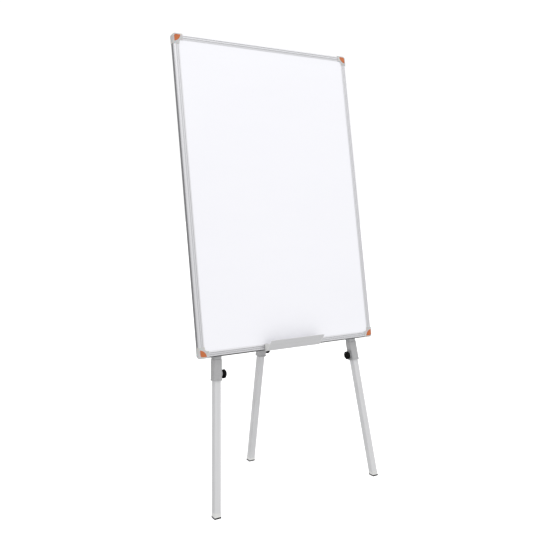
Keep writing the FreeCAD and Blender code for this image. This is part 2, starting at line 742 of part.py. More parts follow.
def sleeve():
    """The clamp sleeve: a shoulder for the outer tube, a bore for the inner one, and a screw boss."""
    body = square_bar(SLEEVE_SIDE, SLEEVE_ROUND, 0, SLEEVE_LENGTH)
    top = [e for e in body.Edges if e.BoundBox.ZMin > SLEEVE_LENGTH - TINY]
    body = body.makeFillet(SLEEVE_TOP_ROUND, top)
    lip = square_bar(SLEEVE_SIDE + 2 * SLEEVE_LIP, SLEEVE_ROUND + SLEEVE_LIP, 0, SLEEVE_LIP_HEIGHT)
    ends = [e for e in lip.Edges if e.BoundBox.ZLength < TINY]
    lip = lip.makeFillet(SLEEVE_LIP_ROUND, ends)
    boss_root = SLEEVE_SIDE / 2 - 1
    boss = rod(BOSS_RADIUS, Vector(boss_root, 0, KNOB_HEIGHT), X_AXIS, BOSS_REACH - boss_root)
    inner_half = INNER_SIDE / 2 + SLIDING_GAP
    nut_pocket = Vector(inner_half - 1, 0, KNOB_HEIGHT)
    return cut_all(join([body, lip, boss]), [
        square_bar(OUTER_SIDE, OUTER_ROUND, SLEEVE_SHOULDER, SLEEVE_LENGTH + 1),
        square_bar(2 * inner_half, INNER_ROUND, -1, SLEEVE_SHOULDER + 1),
        rod(SCREW_HOLE_RADIUS, Vector(0, 0, KNOB_HEIGHT), X_AXIS, BOSS_REACH + 1),
        hex_bar(NUT_POCKET_FLATS, nut_pocket, X_AXIS, NUT_POCKET_DEPTH + 1),
    ])


def clamp_nut():
    nut = hex_bar(CLAMP_NUT_FLATS, Vector(CLAMP_NUT_START, 0, KNOB_HEIGHT), X_AXIS, CLAMP_NUT_THICKNESS)
    return nut.cut(rod(CLAMP_NUT_BORE, Vector(0, 0, KNOB_HEIGHT), X_AXIS, BOSS_REACH))


def knob_screw():
    length = KNOB_HEAD_START + SCREW_IN_KNOB - SCREW_TIP
    return rod(SCREW_RADIUS, Vector(SCREW_TIP, 0, KNOB_HEIGHT), X_AXIS, length)


def knob():
    """A lobed hand knob with a domed face and a short neck, turned by hand to clamp the tube."""
    centre = Vector(KNOB_HEAD_START, 0, KNOB_HEIGHT)
    thickness = KNOB_END - KNOB_HEAD_START
    shapes = [rod(KNOB_RADIUS - 1.0, centre, X_AXIS, thickness)]
    for i in range(KNOB_LOBES):
        angle = 2 * math.pi * (i + 0.5) / KNOB_LOBES
        away = Vector(0, math.cos(angle), math.sin(angle)) * (KNOB_RADIUS - KNOB_LOBE_RADIUS)
        shapes.append(rod(KNOB_LOBE_RADIUS, centre + away, X_AXIS, thickness))
    head = join(shapes)
    dome = Part.makeSphere(KNOB_DOME_RADIUS, Vector(KNOB_END - KNOB_DOME_RADIUS, 0, KNOB_HEIGHT))
    wide = KNOB_RADIUS + 4
    bevel = Part.makeCone(wide - KNOB_BEVEL, wide, KNOB_BEVEL, centre, X_AXIS).fuse(
        rod(wide, centre + X_AXIS * KNOB_BEVEL, X_AXIS, thickness)
    )
    neck_start = Vector(KNOB_NECK_START, 0, KNOB_HEIGHT)
    neck = rod(KNOB_NECK_RADIUS, neck_start, X_AXIS, KNOB_HEAD_START - KNOB_NECK_START)
    return join([head.common(dome).common(bevel), neck]).cut(knob_screw())


def inner_tube(reach):
    return square_tube(INNER_SIDE, INNER_WALL, INNER_ROUND, FOOT_COLLAR - reach, INNER_OVERLAP)


def guide_bush():
    """The bush on the inner tube's upper end, which fills the outer tube's bore and slides in it."""
    end = INNER_OVERLAP
    corner = OUTER_ROUND - OUTER_WALL
    head = square_bar(OUTER_SIDE - 2 * OUTER_WALL - SLIDING_GAP, corner, end, end + BUSH_HEAD)
    plug = inner_plug(end - BUSH_PLUG, end)
    hollow = square_bar(BUSH_BORE_SIDE, 1.0, end - BUSH_PLUG - 1, end + BUSH_HEAD - BUSH_TOP)
    return join([head, plug]).cut(hollow)


def inner_plug(z0, z1):
    """A square plug that fits into the end of an inner tube."""
    return square_bar(INNER_SIDE - 2 * INNER_WALL - 2 * PLUG_GAP, INNER_ROUND - INNER_WALL, z0, z1)


def space_between(low, high):
    wide = BOARD_HEIGHT
    return block(-wide, wide, -wide, wide, low, high)


def foot_and_pad(place, reach):
    """A plastic foot plugged into the inner tube, and the rubber pad under it, flat on the floor."""
    tube_end = FOOT_COLLAR - reach
    under_floor = -reach - INNER_SIDE
    foot_side = INNER_SIDE + 2 * FOOT_PROUD
    pad_side = INNER_SIDE + 2 * PAD_PROUD
    collar = moved(square_bar(foot_side, INNER_ROUND + FOOT_PROUD, under_floor, tube_end), place)
    plug = moved(inner_plug(tube_end, tube_end + FOOT_PLUG), place)
    hollow = moved(square_bar(FOOT_BORE_SIDE, 1.0, tube_end + 1, tube_end + FOOT_PLUG + 1), place)
    foot = join([collar.common(space_between(PAD_HEIGHT, 10 * FOOT_COLLAR)), plug]).cut(hollow)
    pad = moved(square_bar(pad_side, INNER_ROUND + PAD_PROUD, under_floor, tube_end), place)
    return foot, pad.common(space_between(0, PAD_HEIGHT))


def rear_knuckle(place, pin_height, tube_top):
    """The rear leg's hinge knuckle; its heel meets the bracket when the leg stands fully open."""
    half = KNUCKLE_HALF_WIDTH
    axis_point = Vector(-half, PIN_DEPTH, PIN_HEIGHT)
    eye = moved(rod(KNUCKLE_EYE_RADIUS, axis_point, X_AXIS, 2 * half), BOARD_PLACE)
    stem = moved(square_bar(OUTER_SIDE, OUTER_ROUND, tube_top, pin_height), place)
    plug_side = OUTER_SIDE - 2 * OUTER_WALL - 2 * PLUG_GAP
    plug = moved(square_bar(plug_side, 0.8, tube_top - KNUCKLE_PLUG, tube_top), place)
    heel_front = BAR_BACK + PLATE_THICKNESS + HEEL_GAP
    heel_top = PIN_HEIGHT + HEEL_HEIGHT
    heel_corners = [
        (heel_front, PIN_HEIGHT, 0), (PIN_DEPTH, PIN_HEIGHT, 0),
        (PIN_DEPTH, PIN_HEIGHT + KNUCKLE_EYE_RADIUS, 0), (PIN_DEPTH - 4, heel_top, 2),
        (heel_front, heel_top, 2),
    ]
    heel = moved(
        prism(heel_corners, lambda p: Vector(-half, p.x, p.y), Vector(2 * half, 0, 0)), BOARD_PLACE
    )
    bore = moved(rod(KNUCKLE_BORE, axis_point - X_AXIS, X_AXIS, 2 * half + 2), BOARD_PLACE)
    return join([eye, stem, plug, heel]).cut(bore)


def leg_nodes(name, place, reach, tube_top):
    """The nodes of one telescopic leg, placed in space."""
    foot, pad = foot_and_pad(place, reach)
    return {
        "outer_tube_" + name: moved(outer_tube(tube_top), place),
        "sleeve_" + name: moved(sleeve(), place),
        "clamp_nut_" + name: moved(clamp_nut(), place),
        "inner_tube_" + name: moved(inner_tube(reach), place),
        "guide_bush_" + name: moved(guide_bush(), place),
        "foot_" + name: foot,
        "pad_" + name: pad,
        "knob_" + name: moved(knob(), place),
        "knob_screw_" + name: moved(knob_screw(), place),
    }


# ---------------------------------------------------------------- pen tray


def tray_profile():
    """The tray's section as (forward of the rail's front, height) with corner radii."""
    gap = TRAY_GAP
    wall = TRAY_WALL
    edge = SHEET_EDGE_ROUND
    low = -gap - wall
    floor = -gap + TRAY_FLOOR_LIFT
    slope = math.atan2(TRAY_RISE - low, TRAY_REACH - TRAY_FLOOR)
    across = Vector(-math.sin(slope), math.cos(slope), 0) * wall
    return [
        (-TRAY_HOOK_BACK, low, edge), (TRAY_FLOOR, low, TRAY_BEND), (TRAY_REACH, TRAY_RISE, edge),
        (TRAY_REACH + across.x, TRAY_RISE + across.y, edge),
        (TRAY_FLOOR + 0.4 * across.x, floor, TRAY_BEND - wall),
        (gap + wall, floor, edge), (gap + wall, TRAY_HOOK_TOP, edge), (gap, TRAY_HOOK_TOP, edge),
        (gap, -gap, 0), (-TRAY_HOOK_BACK, -gap, 0),
    ]


def pen_tray():
    half = TRAY_LENGTH / 2 - TRAY_END_THICKNESS
    return prism(tray_profile(), lambda p: Vector(-half, -p.x, p.y), Vector(2 * half, 0, 0))


def tray_end(side):
    """A moulded end plate that closes the lower part of the tray's trough."""
    half = TRAY_LENGTH / 2
    low = -TRAY_GAP - TRAY_WALL
    top = TRAY_END_TOP
    reach = TRAY_FLOOR + (TRAY_REACH - TRAY_FLOOR) * (top - low) / (TRAY_RISE - low)
    corners = [
        (TRAY_GAP, low, SHEET_EDGE_ROUND), (TRAY_FLOOR, low, TRAY_BEND),
        (reach, top, 1.5), (TRAY_GAP, top, 1.0),
    ]
    start = half - TRAY_END_THICKNESS if side > 0 else -half
    return prism(corners, lambda p: Vector(start, -p.x, p.y), Vector(TRAY_END_THICKNESS, 0, 0))


# ---------------------------------------------------------------- whole easel


def build():
    nodes = board_nodes()
    nodes["crossbar"] = crossbar()
    nodes["hinge_bracket"] = hinge_bracket()
    nodes["hinge_rivet"] = hinge_rivet()
    bolts = []
    for name, side in (("left", -1), ("right", 1)):
        nodes["crossbar_cap_" + name] = crossbar_cap(side)
        nodes["crossbar_strap_" + name] = crossbar_strap(side)
        nodes["leg_head_" + name] = leg_head(side)
        nodes["leg_saddle_" + name] = leg_saddle(side)
        nodes["tray_end_" + name] = tray_end(side)
        bolts += leg_bolt(side)
        nodes["crossbar"] = nodes["crossbar"].cut(bolt_hole(front_leg_x(side, BAR_MIDDLE)))
    nodes["leg_bolts"] = Part.makeCompound(bolts)
    nodes["pen_tray"] = pen_tray()
    screws = fixing_screws()
    drill(nodes, [
        "frame_bottom", "frame_left", "frame_right", "crossbar", "hinge_bracket",
        "crossbar_strap_left", "crossbar_strap_right", "leg_saddle_left", "leg_saddle_right",
    ], screws)
    nodes["fixing_screws"] = Part.makeCompound(screws)
    nodes = {name: moved(shape, BOARD_PLACE) for name, shape in nodes.items()}

    for name, side in (("left", -1), ("right", 1)):
        place = BOARD_PLACE.multiply(front_leg_place(side))
        reach = distance_to_floor(place)
        nodes.update(leg_nodes(name, place, reach, FRONT_TUBE_TOP))
    place = rear_leg_place(reach)
    pin_height = (board_point(0, PIN_DEPTH, PIN_HEIGHT) - place.Base).Length
    tube_top = pin_height - KNUCKLE_STEM
    nodes.update(leg_nodes("rear", place, reach, tube_top))
    nodes["rear_knuckle"] = rear_knuckle(place, pin_height, tube_top)
    return nodes


os.makedirs("parts", exist_ok=True)
for node_name, node_shape in build().items():
    node_shape.exportStep("parts/" + node_name + ".step")
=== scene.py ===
import json
import math

import bpy
from mathutils import Matrix, Vector

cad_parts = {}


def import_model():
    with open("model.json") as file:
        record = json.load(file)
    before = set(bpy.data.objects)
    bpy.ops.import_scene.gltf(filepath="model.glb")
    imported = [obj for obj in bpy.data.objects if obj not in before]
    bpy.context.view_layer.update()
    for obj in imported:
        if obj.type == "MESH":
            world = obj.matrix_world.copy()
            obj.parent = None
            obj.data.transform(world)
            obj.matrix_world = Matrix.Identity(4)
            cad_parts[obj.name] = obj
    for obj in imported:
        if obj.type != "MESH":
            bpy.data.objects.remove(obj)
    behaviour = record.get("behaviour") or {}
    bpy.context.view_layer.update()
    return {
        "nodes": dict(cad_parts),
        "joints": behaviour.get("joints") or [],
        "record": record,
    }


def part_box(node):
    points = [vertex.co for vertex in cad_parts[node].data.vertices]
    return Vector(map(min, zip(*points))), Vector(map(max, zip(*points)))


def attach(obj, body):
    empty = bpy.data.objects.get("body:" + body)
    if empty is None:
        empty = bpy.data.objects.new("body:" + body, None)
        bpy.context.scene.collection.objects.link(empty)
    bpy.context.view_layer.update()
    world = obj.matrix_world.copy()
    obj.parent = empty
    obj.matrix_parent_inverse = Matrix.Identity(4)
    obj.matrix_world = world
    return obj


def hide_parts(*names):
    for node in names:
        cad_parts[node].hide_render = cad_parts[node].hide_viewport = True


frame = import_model()

# How far the board leans back, from the box of its writing surface
surface_low, surface_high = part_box("writing_surface")
LEAN = math.atan2(surface_high.y - surface_low.y, surface_high.z - surface_low.z)
LEGS = ("left", "right", "rear")

# Camera: where it stands (metres), where it looks (degrees) and its lens (millimetres)
CAMERA_PLACE = (-1.0895, -1.7075, 0.8958)
CAMERA_YAW = 32.281
CAMERA_PITCH = 6.290
CAMERA_ROLL = -0.998
CAMERA_LENS = 44.77
CAMERA_SHIFT_Y = -0.0280
SENSOR_WIDTH = 36.0

# Studio: the floor's radius (metres), number of sides and glow, the walls' strength as lamps and as the
# camera sees them, and the way to the middle of the black card in the mirrored walls
FLOOR_RADIUS = 14.0
FLOOR_SIDES = 96
FLOOR_GLOW = 0.42
WALL_STRENGTH = 1.015
BACKDROP_STRENGTH = 1.05
BLACK_CARD = (-0.60, 0.80, 0.0)

# Clamp knob: lobes round its rim, points in each ring, the depth of its scallops (metres), and the share of
# its widest radius that only its head reaches
KNOB_LOBES = 8
KNOB_STEPS = 96
KNOB_SCALLOP = 0.0010
KNOB_HEAD_SHARE = 0.7

# Finish: how wide the worn strip along an edge is, and how near a groove's walls stand to get painted shade
# (metres)
WORN_EDGE = 0.0005
WORN_RAIL_EDGE = 0.0006
GROOVE_SHADE_REACH = 0.003


def joint(name):
    """The frame's joint of that name."""
    return next(found for found in frame["joints"] if found["name"] == name)


# ---------------------------------------------------------------- node helpers


def feed(tree, socket, value):
    """Gives a socket another node's output, a colour of three numbers, or a plain value."""
    if isinstance(value, bpy.types.NodeSocket):
        tree.links.new(value, socket)
    elif socket.type == "RGBA":
        socket.default_value = (*value, 1.0)
    else:
        socket.default_value = value


def add(tree, kind, settings=None, **inputs):
    """A new node. Settings are its own values; inputs are values or other nodes' outputs, by name."""
    node = tree.nodes.new(kind)
    for name, value in (settings or {}).items():
        setattr(node, name, value)
    for name, value in inputs.items():
        feed(tree, node.inputs[name.replace("_", " ")], value)
    return node


def math_node(tree, operation, first, second=0.0, clamp=False):
    """The result of one operation on two values."""
    node = add(tree, "ShaderNodeMath", {"operation": operation, "use_clamp": clamp})
    feed(tree, node.inputs[0], first)
    feed(tree, node.inputs[1], second)
    return node.outputs[0]


def times(tree, *factors):
    """All the factors multiplied."""
    total = factors[0]
    for factor in factors[1:]:
        total = math_node(tree, "MULTIPLY", total, factor)
    return total


def dot_product(tree, first, second):
    """The dot product of two directions: 1 when they are the same."""
    node = add(tree, "ShaderNodeVectorMath", {"operation": "DOT_PRODUCT"})
    feed(tree, node.inputs[0], first)
    feed(tree, node.inputs[1], second)
    return node.outputs["Value"]


def spread(tree, value, low, high, start=0.0, end=1.0):
    """Maps value from start..end to low..high, held at the ends."""
    return add(
        tree, "ShaderNodeMapRange", Value=value, From_Min=start, From_Max=end, To_Min=low, To_Max=high
    ).outputs["Result"]


def share(tree, value, start=0.3, end=0.7):
    """0 to 1 over the stretch of a noise where most of its values lie."""
    return spread(tree, value, 0.0, 1.0, start, end)


def mix(tree, factor, first, second):
    """A colour between two colours."""
    node = add(tree, "ShaderNodeMix", {"data_type": "RGBA"})
    # A Mix node's colour sockets come after its sockets for numbers and vectors
    feed(tree, node.inputs[0], factor)
    feed(tree, node.inputs[6], first)
    feed(tree, node.inputs[7], second)
    return node.outputs[2]


def noise(tree, place, scale, detail=4.0, roughness=0.55):
    """Cloudy noise, finer with scale."""
    return add(
        tree, "ShaderNodeTexNoise", Vector=place, Scale=scale, Detail=detail, Roughness=roughness
    ).outputs["Fac"]


def stretched(tree, place, scale):
    """The place, scaled differently along its three axes, so that a noise on it runs in streaks."""
    return add(tree, "ShaderNodeMapping", Vector=place, Scale=scale).outputs["Vector"]


def bump(tree, height, distance, strength):
    """The shading normal over a height that rises by that distance (metres)."""
    return add(
        tree, "ShaderNodeBump", Height=height, Distance=distance, Strength=strength
    ).outputs["Normal"]


def edge_wear(tree, radius=WORN_EDGE):
    """1 on the piece's sharp edges, 0 on its flats, from the angle that a rounding of that radius makes."""
    rounded = add(tree, "ShaderNodeBevel", {"samples": 4}, Radius=radius).outputs["Normal"]
    flat = tree.nodes.new("ShaderNodeNewGeometry").outputs["Normal"]
    return spread(tree, dot_product(tree, rounded, flat), 1.0, 0.0, 0.80, 0.995)


def painted_groove_shade(tree, reach):
    """A mask for painted shade: 1 deep in a groove or an inside corner, 0 on an open face."""
    open_air = add(tree, "ShaderNodeAmbientOcclusion", {"samples": 6, "only_local": True}, Distance=reach)
    return spread(tree, open_air.outputs["AO"], 1.0, 0.0, 0.55, 0.97)


def material(name, **fixed):
    """A new material, its nodes, its shader with those values set, and the place on the piece (metres)."""
    made = bpy.data.materials.new(name)
    made.use_nodes = True
    tree = made.node_tree
    shader = tree.nodes["Principled BSDF"]
    for socket, value in fixed.items():
        shader.inputs[socket.replace("_", " ")].default_value = value
    place = tree.nodes.new("ShaderNodeTexCoord").outputs["Object"]
    return made, tree, shader, place


def board_place(tree, place):
    """The place turned upright, with x across the board, y through it and z up it."""
    return add(tree, "ShaderNodeMapping", Vector=place, Rotation=(LEAN, 0.0, 0.0)).outputs["Vector"]


def leg_place(tree, place, leg):
    """The place turned so that z runs along the leg."""
    upwards = -Vector(joint(leg + "_leg_slide")["axis"])
    turn = upwards.rotation_difference(Vector((0.0, 0.0, 1.0))).to_euler()
    return add(tree, "ShaderNodeMapping", Vector=place, Rotation=turn).outputs["Vector"]


def connect(tree, shader, colour=None, roughness=None, normal=None, metallic=None):
    """Links those outputs to the shader's sockets."""
    linked = {"Base Color": colour, "Roughness": roughness, "Normal": normal, "Metallic": metallic}
    for name, value in linked.items():
        if value is not None:
            tree.links.new(value, shader.inputs[name])


# ---------------------------------------------------------------- materials


def white_enamel():
    """Glossy white lacquer on steel, with faint haze from dry wiping and a slight orange peel."""
    made, tree, shader, place = material("white_enamel", IOR=1.5, Coat_Weight=0.25, Coat_Roughness=0.12)
    board = board_place(tree, place)
    wipes = noise(tree, stretched(tree, board, (1.0, 1.0, 3.5)), 3.0, 5.0, 0.6)
    cloud = noise(tree, board, 2.2, 2.0)
    peel = noise(tree, place, 420.0, 2.0)
    haze = math_node(tree, "ADD", times(tree, wipes, 0.6), times(tree, cloud, 0.4))
    connect(
        tree, shader,
        colour=mix(tree, share(tree, haze), (0.908, 0.908, 0.949), (0.890, 0.890, 0.933)),
        roughness=spread(tree, haze, 0.22, 0.28, 0.3, 0.7),
        normal=bump(tree, peel, 0.00002, 0.25),
    )
    return made


def extruded_aluminium(name, across, tint, groove_shade_strength):
    """Satin anodised extrusion with die lines along its length, along x if across, else up the board, and
    painted shade darkening its grooves.
    """
    made, tree, shader, place = material(name, Metallic=1.0, Anisotropic=0.35)
    board = board_place(tree, place)
    lines = (1.5, 900.0, 900.0) if across else (900.0, 900.0, 1.5)
    streaks = noise(tree, stretched(tree, board, lines), 1.0, 3.0, 0.6)
    fine = noise(tree, stretched(tree, board, tuple(4 * scale for scale in lines)), 1.0, 2.0)
    cloud = noise(tree, board, 9.0, 3.0)
    plain = mix(tree, share(tree, streaks), tuple(0.93 * channel for channel in tint), tint)
    lit = mix(tree, times(tree, edge_wear(tree, WORN_RAIL_EDGE), 0.5), plain, (0.86, 0.86, 0.87))
    # Painted shade: grooves and inside corners are darkened toward near black, as strong as the given
    # strength
    groove_shade = times(tree, painted_groove_shade(tree, GROOVE_SHADE_REACH), groove_shade_strength)
    rough = math_node(
        tree, "ADD", spread(tree, fine, 0.30, 0.40, 0.3, 0.7), spread(tree, cloud, -0.03, 0.04)
    )
    connect(
        tree, shader, colour=mix(tree, groove_shade, lit, (0.16, 0.16, 0.17)), roughness=rough,
        normal=bump(tree, streaks, 0.00003, 0.35),
    )
    return made


def moulded_plastic(name, dark, light, rough, grain=900.0, speckle=0.0, wear=(1.0, 1.0, 1.0), **fixed):
    """Injection-moulded plastic with a fine spark-eroded texture, clouding and paler rubbed edges."""
    made, tree, shader, place = material(name, **fixed)
    cloud = noise(tree, place, 45.0, 4.0)
    texture = noise(tree, place, grain, 3.0, 0.7)
    clouding = spread(tree, cloud, 0.0, 1.0 - speckle, 0.3, 0.7)
    speckles = spread(tree, texture, 0.0, speckle, 0.35, 0.65)
    plain = mix(tree, math_node(tree, "ADD", clouding, speckles, clamp=True), dark, light)
    uneven = math_node(tree, "ADD", cloud, texture)
    connect(
        tree, shader, colour=mix(tree, times(tree, edge_wear(tree), 0.22), plain, wear),
        roughness=spread(tree, uneven, rough - 0.06, rough + 0.08, 0.6, 1.4),
        normal=bump(tree, texture, 0.00003, 0.5),
    )
    return made


def powder_coat(name, dark, light, rough, metallic):
    """Powder-coated steel tube: orange peel, tiny metal flakes, and bare bright steel where edges rub."""
    made, tree, shader, place = material(name, Coat_Weight=0.15, Coat_Roughness=0.35)
    peel = noise(tree, place, 320.0, 2.0, 0.4)
    flakes = add(tree, "ShaderNodeTexVoronoi", Vector=place, Scale=2600.0).outputs["Color"]
    flake = add(tree, "ShaderNodeSeparateColor", Color=flakes).outputs["Red"]
    cloud = noise(tree, place, 12.0, 4.0)
    rubbed = times(tree, edge_wear(tree), spread(tree, cloud, 0.0, 0.8, 0.45, 0.65))
    shade = math_node(tree, "ADD", spread(tree, flake, 0.0, 0.5), spread(tree, cloud, 0.0, 0.5, 0.3, 0.7))
    connect(
        tree, shader, colour=mix(tree, rubbed, mix(tree, shade, dark, light), (0.62, 0.62, 0.63)),
        roughness=spread(tree, flake, rough - 0.05, rough + 0.07),
        metallic=spread(tree, flake, metallic - 0.12, metallic + 0.12),
        normal=bump(tree, peel, 0.00004, 0.35),
    )
    return made


def drawn_tube(leg):
    """Satin lacquered inner tube, with draw lines along it and rub marks from sliding in its sleeve."""
    made, tree, shader, place = material("drawn_tube_" + leg, Coat_Weight=0.15, Coat_Roughness=0.35)
    along = leg_place(tree, place, leg)
    lines = noise(tree, stretched(tree, along, (650.0, 650.0, 2.5)), 1.0, 4.0, 0.65)
    rubs = noise(tree, stretched(tree, along, (220.0, 220.0, 14.0)), 1.0, 4.0, 0.7)
    cloud = noise(tree, place, 14.0, 4.0)
    marks = times(tree, share(tree, rubs, 0.56, 0.72), spread(tree, cloud, 0.3, 1.0, 0.4, 0.6), 0.45)
    plain = mix(tree, share(tree, lines), (0.585, 0.588, 0.596), (0.695, 0.698, 0.708))
    rubbed = mix(tree, marks, plain, (0.50, 0.50, 0.51))
    connect(
        tree, shader, colour=mix(tree, times(tree, edge_wear(tree), 0.4), rubbed, (0.76, 0.76, 0.77)),
        roughness=spread(tree, lines, 0.36, 0.48, 0.3, 0.7),
        metallic=spread(tree, cloud, 0.04, 0.20, 0.3, 0.7),
        normal=bump(tree, lines, 0.00003, 0.4),
    )
    return made


def zinc_steel():
    """Zinc-plated steel: a soft blotchy sheen with short brushed marks."""
    made, tree, shader, place = material("zinc_steel", Metallic=1.0)
    cloud = noise(tree, place, 160.0, 5.0, 0.65)
    marks = noise(tree, stretched(tree, place, (300.0, 2400.0, 2400.0)), 1.0, 2.0)
    connect(
        tree, shader, colour=mix(tree, share(tree, cloud), (0.50, 0.51, 0.53), (0.68, 0.69, 0.71)),
        roughness=spread(tree, cloud, 0.26, 0.46, 0.3, 0.7),
        normal=bump(tree, marks, 0.00001, 0.4),
    )
    return made


def galvanised_sheet():
    """The back sheet: galvanised steel with a spangle of pale and grey crystals."""
    made, tree, shader, place = material("back_sheet_metal", Metallic=0.85)
    board = board_place(tree, place)
    bent = add(tree, "ShaderNodeTexNoise", Vector=board, Scale=60.0, Detail=2.0).outputs["Color"]
    bend = (0.012, 0.012, 0.012)
    nudged = add(tree, "ShaderNodeVectorMath", {"operation": "MULTIPLY_ADD"})
    for socket, value in zip(nudged.inputs, (bent, bend, board)):
        feed(tree, socket, value)
    crystals = add(tree, "ShaderNodeTexVoronoi", Vector=nudged.outputs[0], Scale=150.0).outputs["Color"]
    crystal = add(tree, "ShaderNodeSeparateColor", Color=crystals).outputs["Red"]
    cloud = noise(tree, board, 3.0, 4.0)
    shade = math_node(tree, "ADD", times(tree, crystal, 0.6), times(tree, cloud, 0.4))
    connect(
        tree, shader, colour=mix(tree, shade, (0.54, 0.55, 0.565), (0.66, 0.67, 0.68)),
        roughness=spread(tree, crystal, 0.38, 0.50),
        normal=bump(tree, noise(tree, board, 30.0, 2.0), 0.0001, 0.2),
    )
    return made


def tray_aluminium():
    """Matt silver extrusion with lengthwise streaks, a little darker than the frame."""
    made, tree, shader, place = material("tray_aluminium")
    board = board_place(tree, place)
    streaks = noise(tree, stretched(tree, board, (2.5, 420.0, 420.0)), 1.0, 4.0, 0.65)
    fine = noise(tree, stretched(tree, board, (12.0, 2600.0, 2600.0)), 1.0, 2.0)
    plain = mix(tree, share(tree, streaks), (0.64, 0.64, 0.65), (0.72, 0.72, 0.73))
    connect(
        tree, shader, colour=mix(tree, times(tree, edge_wear(tree), 0.35), plain, (0.84, 0.84, 0.85)),
        roughness=spread(tree, fine, 0.40, 0.52, 0.3, 0.7),
        metallic=spread(tree, streaks, 0.10, 0.25),
        normal=bump(tree, streaks, 0.00003, 0.4),
    )
    return made


def cardboard_core():
    """Honeycomb paper core, hidden inside the panel: brown paper cells."""
    made, tree, shader, place = material("honeycomb_core")
    board = board_place(tree, place)
    flattened = stretched(tree, board, (1.0, 0.0, 1.0))
    edges = {"feature": "DISTANCE_TO_EDGE"}
    cells = add(tree, "ShaderNodeTexVoronoi", edges, Vector=flattened, Scale=110.0).outputs["Distance"]
    fibre = noise(tree, board, 500.0, 4.0)
    wall = spread(tree, cells, 1.0, 0.0, 0.0, 0.12)
    paper = mix(tree, fibre, (0.36, 0.25, 0.15), (0.46, 0.33, 0.21))
    connect(
        tree, shader, colour=mix(tree, wall, paper, (0.58, 0.44, 0.30)),
        roughness=spread(tree, fibre, 0.8, 0.95), normal=bump(tree, wall, 0.0004, 0.6),
    )
    return made


def rubber():
    """Black rubber pad with a dusty, slightly grey face."""
    made, tree, shader, place = material("black_rubber", Specular_IOR_Level=0.15)
    dust = noise(tree, place, 240.0, 5.0, 0.7)
    grain = noise(tree, place, 1500.0, 2.0)
    connect(
        tree, shader, colour=mix(tree, share(tree, dust, 0.4, 0.75), (0.006,) * 3, (0.030, 0.030, 0.029)),
        roughness=spread(tree, dust, 0.62, 0.85), normal=bump(tree, grain, 0.00005, 0.6),
    )
    return made


def slot_materials():
    """A finished material for each of the record's material slots, but silver_paint: see piece_materials."""
    return {
        "white_enamel": white_enamel(),
        "honeycomb_core": cardboard_core(),
        "back_sheet_metal": galvanised_sheet(),
        # 0.60 is how strong the painted shade in the rails' grooves is
        "frame_aluminium": extruded_aluminium("frame_aluminium", True, (0.72, 0.72, 0.74), 0.60),
        "corner_plastic": moulded_plastic(
            "corner_plastic", (0.50, 0.50, 0.50), (0.60, 0.595, 0.59), 0.36, Subsurface_Weight=0.15,
            Subsurface_Scale=0.004,
        ),
        "orange_plastic": moulded_plastic(
            "orange_plastic", (0.47, 0.108, 0.021), (0.57, 0.152, 0.034), 0.30, grain=500.0,
            wear=(0.9, 0.5, 0.3),
        ),
        "zinc_steel": zinc_steel(),
        "grey_paint": powder_coat("grey_paint", (0.40, 0.405, 0.41), (0.50, 0.505, 0.51), 0.42, 0.30),
        "grey_plastic": moulded_plastic(
            "grey_plastic", (0.35, 0.35, 0.355), (0.46, 0.46, 0.465), 0.46, grain=700.0, speckle=0.6,
            wear=(0.6, 0.6, 0.6),
        ),
        "white_nylon": moulded_plastic("white_nylon", (0.64, 0.64, 0.63), (0.72, 0.72, 0.71), 0.42),
        "black_rubber": rubber(),
        "black_plastic": moulded_plastic(
            "black_plastic", (0.002, 0.002, 0.002), (0.006, 0.006, 0.006), 0.45, wear=(0.02, 0.02, 0.02),
            Specular_IOR_Level=0.07,
        ),
        "tray_aluminium": tray_aluminium(),
    }


def piece_materials():
    """Side rails with upright die lines, inner tubes drawn along their legs, and pale tray ends."""
    # The side rails get weaker painted shade in their grooves (0.35) than the top and bottom rails
    upright = extruded_aluminium("frame_aluminium_upright", False, (0.70, 0.70, 0.72), 0.35)
    pale = moulded_plastic("tray_end_plastic", (0.64, 0.64, 0.63), (0.72, 0.72, 0.71), 0.38)
    chosen = {"inner_tube_" + leg: drawn_tube(leg) for leg in LEGS}
    for side in ("left", "right"):
        chosen["frame_" + side] = upright
        chosen["tray_end_" + side] = pale
    return chosen


def dress_nodes(materials):
    """Gives each CAD node its own material if it has one, or else its slot's."""
    own = piece_materials()
    for part in frame["record"]["subparts"]:
        slots = frame["nodes"][part["node"]].data.materials
        slots.clear()
        slots.append(own[part["node"]] if part["node"] in own else materials[part["material_slot"]])


# ---------------------------------------------------------------- clamp knobs


def knob_profile(back, head, front, radius):
    """(distance along the axis, radius, how deep the scallops go) from the neck's back to the face."""
    thick = front - back
    return [
        (back, 0.0, 0.0), (back, 0.50 * radius, 0.0), (back, 0.54 * radius, 0.0),
        (back + 0.03 * thick, 0.56 * radius, 0.0), (head - 0.05 * thick, 0.56 * radius, 0.0),
        (head - 0.01 * thick, 0.60 * radius, 0.0), (head, 0.74 * radius, 0.2), (head, 0.84 * radius, 0.5),
        (head + 0.04 * thick, 0.93 * radius, 1.0), (head + 0.12 * thick, 0.985 * radius, 1.0),
        (head + 0.20 * thick, radius, 1.0), (head + 0.36 * thick, radius, 1.0),
        (head + 0.48 * thick, 0.985 * radius, 1.0), (head + 0.58 * thick, 0.93 * radius, 0.8),
        (head + 0.65 * thick, 0.82 * radius, 0.4), (front - 0.055 * thick, 0.68 * radius, 0.1),
        (front - 0.01 * thick, 0.54 * radius, 0.0), (front, 0.47 * radius, 0.0),
        (front - 0.02 * thick, 0.44 * radius, 0.0), (front - 0.06 * thick, 0.425 * radius, 0.0),
        (front - 0.065 * thick, 0.38 * radius, 0.0), (front - 0.065 * thick, 0.0, 0.0),
    ]


